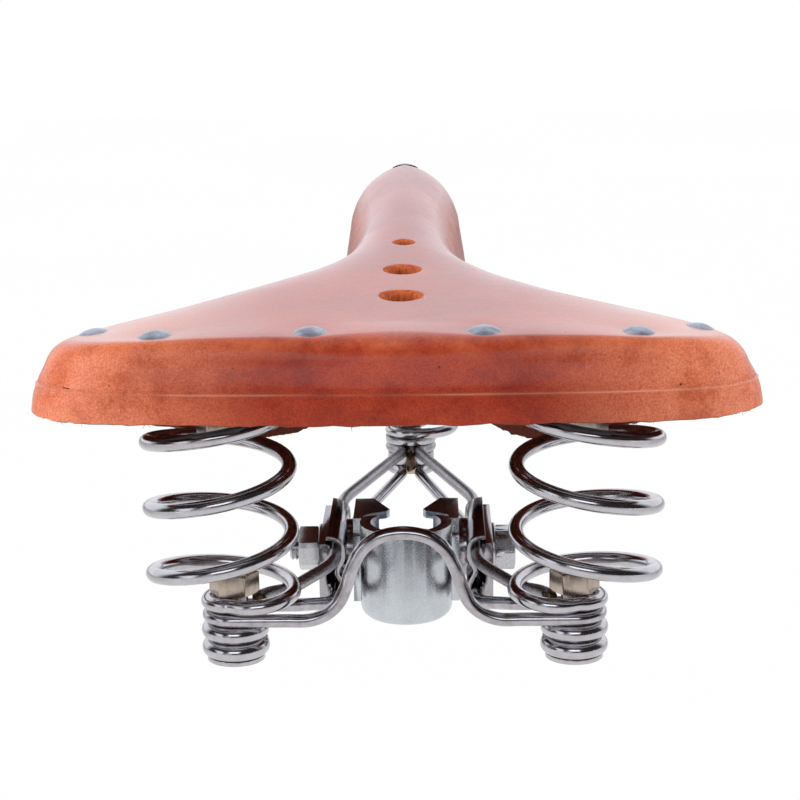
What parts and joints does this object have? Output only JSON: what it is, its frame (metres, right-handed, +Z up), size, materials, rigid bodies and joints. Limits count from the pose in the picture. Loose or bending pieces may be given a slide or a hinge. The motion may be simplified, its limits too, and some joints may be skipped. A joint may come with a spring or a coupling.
{
  "type": "bicycle saddle",
  "caption": "Sprung leather bicycle saddle: a riveted hide over steel plates, coil springs and a double-rail wire frame, held on a seat post by an adjustable clamp.",
  "frame": {"origin": "centre of the lower mouth of the seat-post socket", "axes": "+Z up along the socket, +Y towards the nose of the saddle, +X towards the rider's right"},
  "size_m": [0.207, 0.2727, 0.1242],
  "materials": {
    "hide": "waxed, satin",
    "rivet_steel": "polished dark steel",
    "pressed_steel": "black enamel",
    "spring_chrome": "polished",
    "rail_chrome": "polished",
    "fastener_nickel": "satin nickel",
    "zinc_plate": "bright zinc",
    "fastener_zinc": "bright zinc"
  },
  "bodies": {
    "post_clamp": {"clamp_band": "zinc_plate", "clamp_bolt": "fastener_zinc"},
    "tightening_nut": {"clamp_nut": "fastener_zinc"},
    "cradle": {"left_inner_cheek": "zinc_plate", "right_inner_cheek": "zinc_plate", "left_outer_cheek": "zinc_plate", "right_outer_cheek": "zinc_plate", "clamp_washers": "fastener_zinc"},
    "wire_frame": {"upper_rail": "rail_chrome", "lower_rail": "rail_chrome", "base_bolts": "spring_chrome", "base_nuts": "fastener_nickel", "left_base_coil": "spring_chrome", "right_base_coil": "spring_chrome", "left_spring": "spring_chrome", "right_spring": "spring_chrome", "nose_spring": "spring_chrome", "nose_bolt": "fastener_zinc", "nose_nut": "fastener_zinc", "nose_spacer": "fastener_zinc", "nose_seat": "fastener_zinc"},
    "seat_top": {"leather_cover": "hide", "cantle_plate": "pressed_steel", "nose_plate": "pressed_steel", "rear_rivets": "rivet_steel", "nose_rivets": "rivet_steel", "spring_top_bolts": "fastener_zinc", "spring_top_nuts": "fastener_zinc", "nose_top_bolt": "fastener_zinc", "nose_top_nut": "fastener_zinc"}
  },
  "joints": [
    {"name": "clamp_nut_turn", "type": "hinge", "parent": "post_clamp", "child": "tightening_nut", "pos_m": [0, 0.024, 0.0144], "axis": [-1, 0, 0], "continuous": true},
    {"name": "saddle_tilt", "type": "hinge", "parent": "post_clamp", "child": "cradle", "pos_m": [0, 0.024, 0.0144], "axis": [1, 0, 0], "range_deg": [-15, 15]},
    {"name": "fore_aft", "type": "slide", "parent": "cradle", "child": "wire_frame", "axis": [0, 1, 0], "range_m": [-0.009, 0.0045]},
    {"name": "spring_sink", "type": "hinge", "parent": "wire_frame", "child": "seat_top", "pos_m": [0, 0.137, 0.05], "axis": [1, 0, 0], "range_deg": [0, 4.5], "stiffness_Nm_per_rad": 900, "springref_deg": -0.06, "deforming": ["left_spring", "right_spring", "nose_spring"]}
  ]
}
